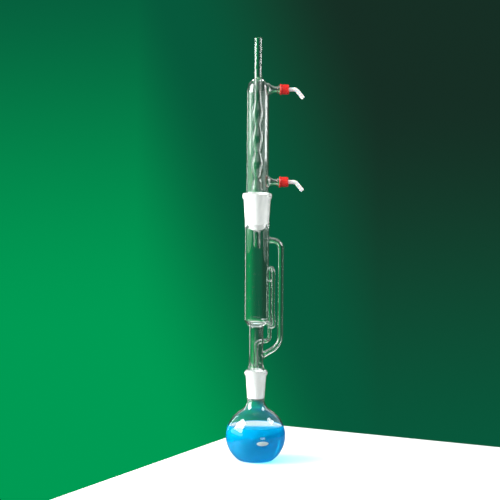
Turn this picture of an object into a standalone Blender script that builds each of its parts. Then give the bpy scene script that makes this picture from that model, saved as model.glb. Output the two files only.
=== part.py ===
"""Soxhlet extraction apparatus: flask, extractor and bulb condenser with two screw-capped hose ports.

Lengths are written in millimetres and scaled to metres when a mesh is made. The apparatus axis is +Z,
the flask stands on z = 0, and both water ports point along +X.
"""
import math

import bmesh
import bpy
from mathutils import Vector

MM = 0.001
GAP = 0.3
COARSE = 20
FINE = 32

# Flask
BULB_RADIUS = 52.5
BULB_HEIGHT = 43.5
BASE_CORNER = 10.0
FLASK_WALL = 1.8
FLASK_NECK = 14.6
NECK_BLEND = 28.0
NECK_TOP = 108.0
LIQUID_LEVEL = 61.4

# Ground joints: a taper of 1:10 on the diameter, a flared mouth and a bead round the rim
GROUND_TAPER = 0.05
MOUTH = 2.0
BEAD_ROUNDING = 2.0
LOWER_RIM = 159.7
LOWER_GROUND = 14.6
LOWER_BEAD = 20.2
LOWER_SIDE = 17.9
UPPER_BASE = 413.9
UPPER_RIM = 472.5
UPPER_GROUND = 20.0
UPPER_BEAD = 25.65
UPPER_SIDE = 23.45

# Extractor
CHAMBER_RADIUS = 21.2
CHAMBER_WALL = 1.5
CHAMBER_FLOOR = 245.0
FLOOR_RADIUS = 13.0
CHAMBER_CORNER = 251.0
CORNER_ROUNDING = 7.0
CHAMBER_SKIRT = 238.3
STEM_RADIUS = 12.5
STEM_WALL = 1.5
STEM_BASE = 172.3
CONE_END = 112.0
CONE_WALL = 1.7
ARM_RADIUS = 5.0
ARM_WALL = 1.3
ARM_OFFSET = 42.0
ARM_TOP = 390.5
ARM_BEND = 15.0
ARM_FOOT = 222.0
ARM_SWEEP = 30.0
ARM_SLOPE = math.radians(30)
TRIM = 4.0
SIPHON_RADIUS = 3.5
SIPHON_WALL = 1.2
SIPHON_BEND = 8.0
OUTLET = (15.0, 0.0, 250.5)
OUTLET_END = (20.0, 0.0, 243.8)
DIP_START = 23.8
DIP_END = 31.6
DIP_BEND = 4.7
RISER = (29.0, 0.0)
RISER_START = 260.0
RISER_BEND = 30.0
DOWN_LEG = (23.5, 12.5)
SIPHON_CREST = 341.0
SIPHON_DIP = 238.0
SIPHON_RETURN = 211.0
DRIP_RADIUS = 4.25
BRACE_HEIGHT = 319.0
BRACE_RADIUS = 1.6

# Condenser
JACKET_RADIUS = 19.35
JACKET_WALL = 1.5
JACKET_BASE = 474.5
SHOULDER = 656.0
SHOULDER_ROUNDING = 10.5
SHOULDER_RISE = 58.0
COLLAR_ROUNDING = 4.0
JACKET_TOP = 677.0
VENT_RADIUS = 6.75
VENT_TOP = 744.7
DRIP_TIP = 375.9
DRIP_END_RADIUS = 6.4
TIP_BEVEL = math.radians(19)
TUBE_WALL = 1.2
FUNNEL_TOP = 421.0
FUNNEL_DEPTH = 13.0
FUNNEL_WALL = 1.8
BULB_COUNT = 4
BULB_STEPS = 7
BULB_PITCH = 44.9
BULB_SWELL = 11.1
BULB_WAIST = 6.0
BULB_FULLNESS = 0.8
BULBS_TOP = 634.3

# Water ports, measured out along +X from the apparatus axis
PORT_HEIGHTS = {"upper": 654.8, "lower": 493.3}
PORT_WALL = 1.5
PORT_NECK = 4.8
PORT_NECK_START = 33.0
PORT_FLARE = 10.8
PORT_FLARE_START = 10.0
FLARE_ROUNDING = 19.2
PORT_END = 48.6
THREAD_PITCH = 2.5
THREAD_TURNS = 3
THREAD_ROOT = 6.1
THREAD_START = 39.6
THREAD_SIZE = 0.75
CAP_START = 38.2
CAP_END = 54.1
CAP_RADIUS = 8.4
CAP_RIM = 9.65
CAP_BORE = 7.45
CAP_HOLE = 4.3
CAP_FACE = 2.0
CAP_THREAD_RADIUS = 7.2
CAP_THREAD_SIZE = 0.55
SEAL_RADIUS = 5.8
SEAL_HOLE = 3.3
SEAL_THICKNESS = 1.5
FLANGE_HOLE = 2.9
FLANGE_THICKNESS = 1.3
BARB_RADIUS = 3.6
BARB_BORE = 2.3
BARB_BEND_START = 62.5
BARB_ANGLE = 50.0
BARB_BEND = 8.0
BARB_TAIL = 16.0


def clear_scene():
    for obj in list(bpy.data.objects):
        bpy.data.objects.remove(obj, do_unlink=True)


def collection(name):
    made = bpy.data.collections.new(name)
    bpy.context.scene.collection.children.link(made)
    return made


def material(name, colour, roughness, transmission=0.0):
    made = bpy.data.materials.new(name)
    made.use_nodes = True
    shader = made.node_tree.nodes["Principled BSDF"]
    shader.inputs["Base Color"].default_value = (*colour, 1.0)
    shader.inputs["Roughness"].default_value = roughness
    shader.inputs["Metallic"].default_value = 0.0
    shader.inputs["Transmission Weight"].default_value = transmission
    shader.inputs["IOR"].default_value = 1.47
    return made


def arc(centre, radius, start, end, steps):
    """Points of an arc in the profile plane, angles in degrees from the radial direction."""
    points = []
    for i in range(steps + 1):
        angle = math.radians(start + (end - start) * i / steps)
        points.append((centre[0] + radius * math.cos(angle), centre[1] + radius * math.sin(angle)))
    return points


def put(obj, group, mat=None, parent=None):
    group.objects.link(obj)
    if mat is not None:
        obj.data.materials.append(mat)
    obj.parent = parent
    return obj


def empty(name, group, location, parent=None):
    made = bpy.data.objects.new(name, None)
    made.location = [c * MM for c in location]
    return put(made, group, parent=parent)


def turned(name, profile, group, mat=None, parent=None, closed=True, steps=COARSE, along_x=False):
    """A profile of (radius, height) points turned about the object's own axis, which is Z or +X."""
    mesh = bpy.data.meshes.new(name)
    work = bmesh.new()
    verts = [work.verts.new((r * MM, 0.0, z * MM)) for r, z in profile]
    for a, b in zip(verts, verts[1:]):
        work.edges.new((a, b))
    if closed:
        work.edges.new((verts[-1], verts[0]))
    work.to_mesh(mesh)
    work.free()
    obj = put(bpy.data.objects.new(name, mesh), group, mat, parent)
    turn = obj.modifiers.new("Turn", "SCREW")
    turn.axis = "Z"
    turn.steps = turn.render_steps = steps
    turn.use_merge_vertices = True
    turn.merge_threshold = 0.00001
    turn.use_smooth_shade = True
    if along_x:
        obj.rotation_euler.y = math.pi / 2
    return obj


def rounded_path(corners, steps=4):
    """A path through (point, bend radius) corners, each bend drawn as an arc."""
    points = [Vector(corners[0][0])]
    for before, (corner, radius), after in zip(corners, corners[1:], corners[2:]):
        corner = Vector(corner)
        back = (Vector(before[0]) - corner).normalized()
        ahead = (Vector(after[0]) - corner).normalized()
        half = back.angle(ahead) / 2
        centre = corner + (back + ahead).normalized() * radius / math.sin(half)
        first = corner + back * radius / math.tan(half) - centre
        last = corner + ahead * radius / math.tan(half) - centre
        for i in range(steps + 1):
            points.append(centre + first.normalized().slerp(last.normalized(), i / steps) * radius)
    points.append(Vector(corners[-1][0]))
    return [p for i, p in enumerate(points) if i == 0 or (p - points[i - 1]).length > 0.05]


def swept(name, path, radius, group, mat=None, parent=None, wall=None, sides=8):
    """A round rod along a path, or an open-ended tube when it has a wall, as a mesh."""
    curve = bpy.data.curves.new(name, "CURVE")
    curve.dimensions = "3D"
    curve.bevel_depth = radius * MM
    curve.bevel_resolution = sides // 2 - 2
    curve.use_fill_caps = wall is None
    spline = curve.splines.new("POLY")
    spline.points.add(len(path) - 1)
    for spot, point in zip(spline.points, path):
        spot.co = (*(Vector(point) * MM), 1.0)
    guide = put(bpy.data.objects.new(name + "_guide", curve), group)
    mesh = bpy.data.meshes.new_from_object(guide.evaluated_get(bpy.context.evaluated_depsgraph_get()))
    bpy.data.objects.remove(guide, do_unlink=True)
    mesh.name = name
    work = bmesh.new()
    work.from_mesh(mesh)
    bmesh.ops.remove_doubles(work, verts=work.verts, dist=0.000001)
    work.to_mesh(mesh)
    work.free()
    mesh.materials.clear()
    mesh.shade_smooth()
    obj = put(bpy.data.objects.new(name, mesh), group, mat, parent)
    if wall is not None:
        shell = obj.modifiers.new("Wall", "SOLIDIFY")
        shell.thickness = wall * MM
        shell.offset = -1.0
        shell.use_even_offset = True
    return obj


def combine(obj, other, operation, solver="EXACT"):
    step = obj.modifiers.new(operation.title(), "BOOLEAN")
    step.operation = operation
    step.object = other
    step.solver = solver
    return obj


def hide(obj):
    obj.hide_render = True
    obj.display_type = "WIRE"
    return obj


def rod_cutter(name, start, end, radius, cutters):
    return hide(swept(name, [start, end], radius, cutters, sides=12))


def ground(rim, large_end, height):
    """Radius of a ground socket's bore at a height below its rim."""
    return large_end - GROUND_TAPER * (rim - height)


def socket_profile(base, rim, widest, throat, lead, bead, bead_height, side, foot):
    """A ground socket's section: up its bore from the throat, over the rim bead and down its outer side."""
    mouth = ground(rim, widest, rim - MOUTH)
    middle = bead - BEAD_ROUNDING
    section = [(throat, base), (ground(rim, widest, base + lead), base + lead), (mouth, rim - MOUTH)]
    section += [(mouth + MOUTH / 2, rim), (middle + 0.4, rim)]
    section += arc((middle, rim - BEAD_ROUNDING), BEAD_ROUNDING, 70, 0, 2)
    section += arc((middle, rim - bead_height), BEAD_ROUNDING, 0, -60, 2)
    return section + [(side, rim - bead_height - BEAD_ROUNDING * 1.6), (foot, base)]


def flask_outline(inset):
    """The flask's side from its neck down to its flat base, moved inwards by inset."""
    centre = (0.0, BULB_HEIGHT)
    blend_x = FLASK_NECK + NECK_BLEND
    blend_z = BULB_HEIGHT + math.sqrt((BULB_RADIUS + NECK_BLEND) ** 2 - blend_x ** 2)
    meet = math.degrees(math.atan2(blend_z - BULB_HEIGHT, blend_x))
    radius = NECK_BLEND + inset
    start = 180 + math.degrees(math.asin((blend_z - NECK_TOP) / radius))
    corner_x = math.sqrt((BULB_RADIUS - BASE_CORNER) ** 2 - (BULB_HEIGHT - BASE_CORNER) ** 2)
    low = math.degrees(math.atan2(BASE_CORNER - BULB_HEIGHT, corner_x))
    side = arc((blend_x, blend_z), radius, start, 180 + meet, 4)
    side += arc(centre, BULB_RADIUS - inset, meet, low, 10)[1:]
    side += arc((corner_x, BASE_CORNER), BASE_CORNER - inset, low, -90, 2)[1:]
    return side


def make_flask(parts, glass, frosted, liquid):
    body = empty("flask_body", parts, (0, 0, 0))
    outer = flask_outline(0.0) + [(0.0, 0.0)]
    inner = [(0.0, FLASK_WALL)] + flask_outline(FLASK_WALL)[::-1]
    turned("flask_bulb", inner + outer, parts, glass, body, closed=False, steps=FINE)
    socket = socket_profile(NECK_TOP + GAP, LOWER_RIM, LOWER_GROUND, throat=FLASK_NECK - FLASK_WALL, lead=4,
                            bead=LOWER_BEAD, bead_height=6, side=LOWER_SIDE, foot=FLASK_NECK + GAP)
    turned("flask_socket", socket, parts, frosted, body)
    clear = FLASK_WALL + 0.5
    level = math.sqrt((BULB_RADIUS - clear) ** 2 - (LIQUID_LEVEL - BULB_HEIGHT) ** 2)
    wet = [p for p in flask_outline(clear) if p[1] < LIQUID_LEVEL - 0.5]
    fill = [(0.0, LIQUID_LEVEL), (level, LIQUID_LEVEL)] + wet + [(0.0, clear)]
    turned("flask_liquid", fill, parts, liquid, body, closed=False, steps=FINE)
    return body


def chamber_outline(outset):
    """The chamber's outer side from rim to skirt, moved outwards by outset."""
    radius = CHAMBER_RADIUS + outset
    middle = (CHAMBER_RADIUS - CORNER_ROUNDING, CHAMBER_CORNER)
    corner = arc(middle, CORNER_ROUNDING + outset, 0, -50, 4)
    return [(radius, UPPER_BASE - GAP)] + corner + [(STEM_RADIUS + outset, CHAMBER_SKIRT)]


def arm_path():
    """The vapour arm's centreline, from inside the chamber wall to inside the stem wall."""
    slope = math.tan(ARM_SLOPE)
    knee = (ARM_OFFSET, 0, ARM_FOOT - ARM_SWEEP * slope)
    inside = STEM_RADIUS - TRIM
    foot = (inside, 0, knee[2] - (ARM_OFFSET - inside) * slope)
    top = (CHAMBER_RADIUS - TRIM, 0, ARM_TOP)
    path = rounded_path([(top, 0), ((ARM_OFFSET, 0, ARM_TOP), ARM_BEND), (knee, ARM_SWEEP), (foot, 0)], 6)
    return path, foot


def make_siphon(parts, glass, body, chamber, stem, cutters):
    """The siphon in three tubes: up beside the chamber, over and down, and on inside the stem."""
    turn = math.dist(RISER, DOWN_LEG) / 2
    split = SIPHON_CREST - turn - 2
    riser = [(OUTLET, 0), ((DIP_START, 0, SIPHON_DIP), DIP_BEND), ((DIP_END, 0, SIPHON_DIP), DIP_BEND)]
    riser += [((*RISER, RISER_START), RISER_BEND), ((*RISER, SIPHON_CREST), turn)]
    riser += [((*DOWN_LEG, SIPHON_CREST), turn), ((*DOWN_LEG, split), 0)]
    tube = swept("siphon_riser", rounded_path(riser), SIPHON_RADIUS, parts, glass, body, SIPHON_WALL)
    combine(tube, chamber, "DIFFERENCE")
    outward = Vector((*DOWN_LEG, 0)).normalized()
    level = Vector((0, 0, SIPHON_RETURN))
    inside = level + outward * STEM_RADIUS / 2
    leg = [((*DOWN_LEG, split - GAP), 0), ((*DOWN_LEG, SIPHON_RETURN), SIPHON_BEND), (inside, 0)]
    tube = swept("siphon_down_leg", rounded_path(leg), SIPHON_RADIUS, parts, glass, body, SIPHON_WALL)
    combine(tube, stem, "DIFFERENCE")
    start = level + outward * (SIPHON_BEND + DRIP_RADIUS / 3)
    drip = [(start, 0), (level, SIPHON_BEND), ((0, 0, CONE_END + 1), 0)]
    swept("siphon_drip_tube", rounded_path(drip), DRIP_RADIUS, parts, glass, body, SIPHON_WALL)
    rod = [(CHAMBER_RADIUS + GAP, 0, BRACE_HEIGHT), (RISER[0] - SIPHON_RADIUS - GAP, 0, BRACE_HEIGHT)]
    swept("siphon_brace", rod, BRACE_RADIUS, parts, glass, body, sides=8)
    bore = SIPHON_RADIUS - SIPHON_WALL
    outside = level + outward * (STEM_RADIUS + TRIM)
    return (
        rod_cutter("outlet_hole", OUTLET, OUTLET_END, bore, cutters),
        rod_cutter("return_hole", inside, outside, bore, cutters),
    )


def make_extractor(parts, cutters, glass, frosted, flask):
    body = empty("extractor_body", parts, (0, 0, 0), flask)
    inner = CHAMBER_RADIUS - CHAMBER_WALL
    socket = socket_profile(UPPER_BASE, UPPER_RIM, UPPER_GROUND, throat=inner, lead=6, bead=UPPER_BEAD,
                            bead_height=7, side=UPPER_SIDE, foot=CHAMBER_RADIUS - 0.4)
    turned("extractor_socket", socket, parts, frosted, body, steps=FINE)

    rounding = CORNER_ROUNDING - 2
    floor = [(0.0, CHAMBER_FLOOR), (FLOOR_RADIUS, CHAMBER_FLOOR + 0.6)]
    floor += arc((inner - rounding, CHAMBER_CORNER), rounding, -45, 0, 3)
    under = CHAMBER_FLOOR - CHAMBER_WALL
    stem_bore = STEM_RADIUS - STEM_WALL
    skirt = [(stem_bore, CHAMBER_SKIRT), (stem_bore - 1, under - 1), (0.0, under)]
    profile = floor + [(inner, UPPER_BASE - GAP)] + chamber_outline(0.0) + skirt
    chamber = turned("extractor_chamber", profile, parts, glass, body, closed=False, steps=FINE)
    keep_out = [(0.0, UPPER_BASE)] + chamber_outline(GAP) + [(0.0, CHAMBER_SKIRT)]
    chamber_space = hide(turned("chamber_space", keep_out, cutters, closed=False, steps=FINE))

    stem_top = CHAMBER_SKIRT - GAP
    tube = [(stem_bore, STEM_BASE), (stem_bore, stem_top), (STEM_RADIUS, stem_top)]
    stem = turned("extractor_stem", tube + [(STEM_RADIUS, STEM_BASE)], parts, glass, body)
    grown = STEM_RADIUS + GAP
    solid = [(0.0, stem_top), (grown, stem_top), (grown, STEM_BASE), (0.0, STEM_BASE)]
    stem_space = hide(turned("stem_space", solid, cutters, closed=False))

    path, foot = arm_path()
    arm = swept("vapour_arm", path, ARM_RADIUS, parts, glass, body, ARM_WALL, sides=12)
    combine(arm, chamber_space, "DIFFERENCE")
    combine(arm, stem_space, "DIFFERENCE")
    bore = ARM_RADIUS - ARM_WALL
    mouth = rod_cutter("arm_hole", path[0], (CHAMBER_RADIUS + TRIM, 0, ARM_TOP), bore, cutters)
    combine(chamber, mouth, "DIFFERENCE")
    beyond = (foot[0] + 2 * TRIM, 0, foot[2] + 2 * TRIM * math.tan(ARM_SLOPE))
    combine(stem, rod_cutter("arm_foot_hole", foot, beyond, bore, cutters), "DIFFERENCE")
    outlet, entry = make_siphon(parts, glass, body, chamber_space, stem_space, cutters)
    combine(chamber, outlet, "DIFFERENCE")
    combine(stem, entry, "DIFFERENCE")

    seat = LOWER_RIM - MOUTH
    fit = ground(LOWER_RIM, LOWER_GROUND, seat) - GAP
    end = ground(LOWER_RIM, LOWER_GROUND, CONE_END) - GAP
    waist = LOWER_RIM + 6
    chamfer = 0.6
    top = STEM_BASE - GAP
    cone = [(end - CONE_WALL, CONE_END), (fit - CONE_WALL, seat), (fit - CONE_WALL, waist)]
    cone += [(stem_bore, top), (STEM_RADIUS, top), (STEM_RADIUS + chamfer, waist + 3)]
    cone += [(fit, waist), (fit, seat), (end, CONE_END + chamfer), (end - chamfer, CONE_END)]
    turned("extractor_cone", cone, parts, frosted, body)
    return body


def jacket_outline(outset):
    """The jacket's outer side from its top collar down past the shoulder to its base."""
    middle = (JACKET_RADIUS - SHOULDER_ROUNDING, SHOULDER)
    shoulder = arc(middle, SHOULDER_ROUNDING + outset, SHOULDER_RISE, 0, 4)
    collar = VENT_RADIUS + GAP + JACKET_WALL
    slope = math.radians(SHOULDER_RISE)
    r, z = shoulder[0]
    reach = (r - collar - COLLAR_ROUNDING * (1 - math.cos(slope))) / math.sin(slope)
    blend = (collar + COLLAR_ROUNDING, z + reach * math.cos(slope) + COLLAR_ROUNDING * math.sin(slope))
    neck = arc(blend, COLLAR_ROUNDING - outset, 180, 180 + SHOULDER_RISE, 3)
    return [(collar + outset, JACKET_TOP)] + neck + shoulder + [(JACKET_RADIUS + outset, JACKET_BASE)]


def bulb_outline(inset):
    """The inner tube's side from vent to tip: straight, then a row of bulbs, then the straight drip end."""
    side = [(VENT_RADIUS - inset, VENT_TOP), (VENT_RADIUS - inset, BULBS_TOP + 3)]
    for bulb in range(BULB_COUNT):
        top = BULBS_TOP - bulb * BULB_PITCH
        for i in range(BULB_STEPS):
            part = i / BULB_STEPS
            swell = math.sin(math.pi * part) ** BULB_FULLNESS
            side.append((BULB_WAIST + (BULB_SWELL - BULB_WAIST) * swell - inset, top - part * BULB_PITCH))
    bottom = BULBS_TOP - BULB_COUNT * BULB_PITCH
    side += [(BULB_WAIST - inset, bottom), (DRIP_END_RADIUS - inset, bottom - 4)]
    return side + [(DRIP_END_RADIUS - inset, DRIP_TIP)]


def port_space(parts, cutters):
    """The jacket's outside grown by a gap, which a port's flare is trimmed to."""
    outline = jacket_outline(GAP)
    profile = [(0.0, JACKET_TOP)] + outline + [(0.0, JACKET_BASE)]
    return hide(turned("jacket_space", profile, cutters, closed=False, steps=FINE))


def helix(radius, start, phase):
    """Points along a right-hand screw thread about the +X axis."""
    per_turn = 10
    points = []
    for i in range(THREAD_TURNS * per_turn + 1):
        angle = 2 * math.pi * (i / per_turn + phase)
        x = start + THREAD_PITCH * i / per_turn
        points.append((x, radius * math.cos(angle), radius * math.sin(angle)))
    return points


def make_port(name, height, parts, cutters, glass, jacket, space, condenser):
    bore = PORT_NECK - PORT_WALL
    centre = (PORT_NECK + FLARE_ROUNDING, PORT_NECK_START)
    sweep = math.degrees(math.acos((centre[0] - PORT_FLARE) / FLARE_ROUNDING))
    outer = arc(centre, FLARE_ROUNDING, 180, 180 + sweep, 4)
    inner = [(max(r - PORT_WALL, bore), x) for r, x in outer][::-1]
    chamfer = 0.4
    profile = [(PORT_FLARE - PORT_WALL, PORT_FLARE_START)] + inner + [(bore, PORT_END)]
    profile += [(THREAD_ROOT - chamfer, PORT_END), (THREAD_ROOT, PORT_END - chamfer)]
    profile += [(THREAD_ROOT, PORT_NECK_START + 2.2)] + outer + [(PORT_FLARE, PORT_FLARE_START)]
    centre_line = empty(name + "_port_axis", parts, (0, 0, height), condenser)
    port = turned(name + "_port", profile, parts, glass, centre_line, steps=COARSE, along_x=True)
    ridge = helix(THREAD_ROOT, THREAD_START, 0.0)
    thread = swept(name + "_thread", ridge, THREAD_SIZE, cutters, sides=6)
    hide(thread).parent = centre_line
    combine(port, thread, "UNION", "MANIFOLD")
    combine(port, space, "DIFFERENCE", "MANIFOLD")
    through = [(JACKET_RADIUS + side * TRIM, 0, height) for side in (-1, 1)]
    combine(jacket, rod_cutter(name + "_port_hole", *through, PORT_FLARE / 2, cutters), "DIFFERENCE")


def make_cap(name, height, parts, cutters, red, white, rubber, condenser):
    """The seal, the cap and the nozzle of one port, all on the port's axis."""
    shift = PORT_END + GAP
    seat = empty(name + "_seal_slide", parts, (shift, 0, height), condenser)
    washer = [(SEAL_HOLE, 0), (SEAL_HOLE, SEAL_THICKNESS), (SEAL_RADIUS, SEAL_THICKNESS), (SEAL_RADIUS, 0)]
    turned(name + "_seal", washer, parts, rubber, seat, steps=COARSE, along_x=True)

    start = CAP_START - shift
    end = CAP_END - shift
    chamfer = 0.7
    shell = [(CAP_HOLE, end - CAP_FACE), (CAP_BORE, end - CAP_FACE), (CAP_BORE, start)]
    shell += [(CAP_RIM - chamfer, start), (CAP_RIM, start + chamfer), (CAP_RIM, start + 1.6)]
    shell += [(CAP_RADIUS + 0.2, start + 3), (CAP_RADIUS, start + 4), (CAP_RADIUS, end - chamfer)]
    shell += [(CAP_RADIUS - chamfer, end), (CAP_HOLE, end)]
    cap = turned(name + "_cap", shell[::-1], parts, red, seat, steps=24, along_x=True)
    ridge = helix(CAP_THREAD_RADIUS, THREAD_START - shift - 0.6, 0.26)
    thread = swept(name + "_cap_thread", ridge, CAP_THREAD_SIZE, cutters, sides=6)
    hide(thread).parent = seat
    combine(cap, thread, "UNION", "MANIFOLD")

    tail = math.radians(BARB_ANGLE)
    flange = SEAL_THICKNESS + GAP
    knee_x = BARB_BEND_START - shift + BARB_BEND * math.tan(tail / 2)
    reach = BARB_TAIL + BARB_BEND * math.tan(tail / 2)
    tip = (knee_x + reach * math.cos(tail), 0, -reach * math.sin(tail))
    path = rounded_path([((flange, 0, 0), 0), ((knee_x, 0, 0), BARB_BEND), (tip, 0)])
    barb = swept(name + "_hose_barb", path, BARB_RADIUS, parts, white, seat, BARB_RADIUS - BARB_BORE, 12)
    face = flange + FLANGE_THICKNESS
    disc = [(FLANGE_HOLE, flange), (FLANGE_HOLE, face), (SEAL_RADIUS, face), (SEAL_RADIUS, flange)]
    collar = hide(turned(name + "_flange", disc, cutters, parent=seat, steps=COARSE, along_x=True))
    combine(barb, collar, "UNION")


def tip_wedge(cutters):
    """A tilted cube that bevels the drip tip, its top face through the tip's longer side."""
    size = 40.0
    mesh = bpy.data.meshes.new("tip_wedge")
    work = bmesh.new()
    bmesh.ops.create_cube(work, size=size * MM)
    work.to_mesh(mesh)
    work.free()
    wedge = hide(put(bpy.data.objects.new("tip_wedge", mesh), cutters))
    wedge.rotation_euler.y = TIP_BEVEL
    below = DRIP_TIP + DRIP_END_RADIUS * math.tan(TIP_BEVEL) - size / 2 / math.cos(TIP_BEVEL)
    wedge.location.z = below * MM
    return wedge


def funnel_profile():
    """The ground cone's section: a straight taper, and a rounded bottom that closes in on the drip tube."""
    seat = UPPER_RIM - MOUTH
    top = ground(UPPER_RIM, UPPER_GROUND, seat) - GAP
    end = ground(UPPER_RIM, UPPER_GROUND, FUNNEL_TOP) - GAP
    hole = DRIP_END_RADIUS + GAP
    turns = [math.radians(18 * i) for i in range(6)]
    cone = [(JACKET_RADIUS, JACKET_BASE - GAP), (top, seat)]
    cone += [(hole + (end - hole) * math.cos(a), FUNNEL_TOP - FUNNEL_DEPTH * math.sin(a)) for a in turns]
    width, depth = end - FUNNEL_WALL - hole, FUNNEL_DEPTH - FUNNEL_WALL
    cone += [(hole + width * math.cos(a), FUNNEL_TOP - depth * math.sin(a)) for a in turns[::-1]]
    return cone + [(top - FUNNEL_WALL, seat), (JACKET_RADIUS - JACKET_WALL, JACKET_BASE - GAP)]


def make_condenser(parts, cutters, glass, frosted, red, white, rubber, extractor):
    body = empty("condenser_body", parts, (0, 0, 0), extractor)
    outer = jacket_outline(0.0)
    profile = outer + jacket_outline(-JACKET_WALL)[::-1]
    jacket = turned("condenser_jacket", profile, parts, glass, body, steps=FINE)

    tube = bulb_outline(0.0) + bulb_outline(TUBE_WALL)[::-1]
    inner = turned("condenser_bulb_tube", tube, parts, glass, body)
    combine(inner, tip_wedge(cutters), "DIFFERENCE")
    turned("condenser_cone", funnel_profile(), parts, frosted, body, steps=FINE)

    space = port_space(parts, cutters)
    for name, height in PORT_HEIGHTS.items():
        make_port(name, height, parts, cutters, glass, jacket, space, body)
        make_cap(name, height, parts, cutters, red, white, rubber, body)


def main():
    clear_scene()
    parts = collection("soxhlet_extractor")
    cutters = collection("cutters")
    glass = material("borosilicate_glass", (0.95, 0.98, 0.97), 0.02, 1.0)
    frosted = material("ground_glass", (0.93, 0.94, 0.94), 0.6, 0.5)
    liquid = material("blue_solvent", (0.0, 0.30, 0.72), 0.02, 1.0)
    red = material("red_plastic", (0.76, 0.03, 0.02), 0.38)
    white = material("white_plastic", (0.88, 0.87, 0.86), 0.35)
    rubber = material("silicone", (0.70, 0.68, 0.64), 0.55)
    flask = make_flask(parts, glass, frosted, liquid)
    extractor = make_extractor(parts, cutters, glass, frosted, flask)
    make_condenser(parts, cutters, glass, frosted, red, white, rubber, extractor)


main()
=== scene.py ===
"""The looks of the Soxhlet extraction set: fused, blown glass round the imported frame, with frosted ground
joints, blue liquid, ribbed red screw caps and white angled hose nozzles.

Lengths inside the shape functions are millimetres; meshes are scaled to metres when they are made.
"""
import math

import bmesh
import bpy
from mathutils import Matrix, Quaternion, Vector


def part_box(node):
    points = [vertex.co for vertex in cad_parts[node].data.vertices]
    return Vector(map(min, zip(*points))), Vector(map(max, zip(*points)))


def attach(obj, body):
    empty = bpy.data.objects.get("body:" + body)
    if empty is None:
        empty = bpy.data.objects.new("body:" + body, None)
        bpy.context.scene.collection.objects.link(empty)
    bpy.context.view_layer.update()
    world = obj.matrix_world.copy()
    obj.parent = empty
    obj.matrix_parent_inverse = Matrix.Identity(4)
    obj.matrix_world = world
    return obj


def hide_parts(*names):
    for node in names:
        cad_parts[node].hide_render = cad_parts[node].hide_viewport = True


MM = 0.001
ROUND = 96
TUBE_SIDES = 32
PORT_SIDES = 64

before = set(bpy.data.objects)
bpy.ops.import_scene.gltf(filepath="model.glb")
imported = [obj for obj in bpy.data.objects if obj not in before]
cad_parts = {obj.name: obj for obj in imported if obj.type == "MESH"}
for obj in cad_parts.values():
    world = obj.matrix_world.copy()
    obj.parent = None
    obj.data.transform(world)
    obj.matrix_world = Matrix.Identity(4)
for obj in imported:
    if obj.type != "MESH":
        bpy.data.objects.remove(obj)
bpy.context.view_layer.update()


def span(node):
    """A CAD node's lowest and highest corner in millimetres."""
    low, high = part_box(node)
    return Vector(low) / MM, Vector(high) / MM


# ---------------------------------------------------------------- sizes read from the frame
bulb_low, bulb_high = span("flask_bulb")
BULB_RADIUS = (bulb_high.x - bulb_low.x) / 2
NECK_TOP = bulb_high.z
FLASK_RIM = span("flask_socket")[1].z
FLASK_BEAD = span("flask_socket")[1].x
LIQUID_LEVEL = span("flask_liquid")[1].z
chamber_low, chamber_high = span("extractor_chamber")
CHAMBER = chamber_high.x
SOCKET_BASE = span("extractor_socket")[0].z
SOCKET_RIM = span("extractor_socket")[1].z
SOCKET_BEAD = span("extractor_socket")[1].x
STEM = span("extractor_stem")[1].x
STEM_LOW = span("extractor_stem")[0].z
CONE_END = span("extractor_cone")[0].z
arm_high = span("vapour_arm")[1]
ARM_RADIUS = arm_high.y
ARM_OFFSET = arm_high.x - ARM_RADIUS
ARM_TOP = arm_high.z - ARM_RADIUS
riser_low, riser_high = span("siphon_riser")
SIPHON_RADIUS = -riser_low.y
SIPHON_TOP = riser_high.z - SIPHON_RADIUS
SIPHON_DIP = riser_low.z + SIPHON_RADIUS
DOWN_LEG = Vector((23.5, riser_high.y - SIPHON_RADIUS, 0))
RISER = Vector((29.0, 0, 0))
RETURN_HEIGHT = span("siphon_down_leg")[0].z + SIPHON_RADIUS
DRIP_RADIUS = -span("siphon_drip_tube")[0].y
BRACE_HEIGHT = sum(c.z for c in span("siphon_brace")) / 2
JACKET = span("condenser_jacket")[1].x
JACKET_BASE, JACKET_TOP = (c.z for c in span("condenser_jacket"))
tube_low, tube_high = span("condenser_bulb_tube")
BULB_SWELL = tube_high.x
VENT_TOP, DRIP_TIP = tube_high.z, tube_low.z
FUNNEL_LOW = span("condenser_cone")[0].z
PORTS = {name: sum(c.z for c in span(name + "_cap")) / 2 for name in ("upper", "lower")}
PORT_END = span("upper_port")[1].x
CAP_START, CAP_END = (c.x for c in span("upper_cap"))
CAP_RIM = (span("upper_cap")[1].y - span("upper_cap")[0].y) / 2
SEAL_START, SEAL_END = (c.x for c in span("upper_seal"))
NOZZLE_START = span("upper_hose_barb")[0].x

# sizes that no box shows, chosen to follow the CAD's outlines
GLASS_WALL = 1.5
BULB_HEIGHT = 43.5
BASE_CORNER = 10.0
FLASK_WALL = 1.8
FLASK_NECK = 14.6
NECK_BLEND = 28.0
SOCKET_END = NECK_TOP + 3.0
WETTED = 0.15
BRIM = LIQUID_LEVEL + 1.0
TAPER = 0.05
LOWER_GROUND = 14.6
UPPER_GROUND = 20.0
MOUTH = 2.0
CLEAR = 0.3
SOCKET_SIDE = 23.4
CHAMBER_FLOOR = 245.0
CHAMBER_CORNER = 251.0
CHAMBER_ROUNDING = 7.0
CHAMBER_SKIRT = chamber_low.z
STEM_BORE = 11.0
STEM_FOOT_WALL = 1.8
CONE_WALL = 1.7
ARM_FOOT = 222.0
ARM_SWEEP = 30.0
ARM_SLOPE = math.radians(30)
ARM_BEND = 15.0
ARM_WALL = 1.3
SIPHON_WALL = 1.2
SIPHON_OUTLET = (16.5, 0, 248.6)
DIP_START, DIP_END = 23.8, 31.6
NARROWING = 4.0
BRACE = 1.5
INTO_WALL = 0.8
SHOULDER = 661.0
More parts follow.
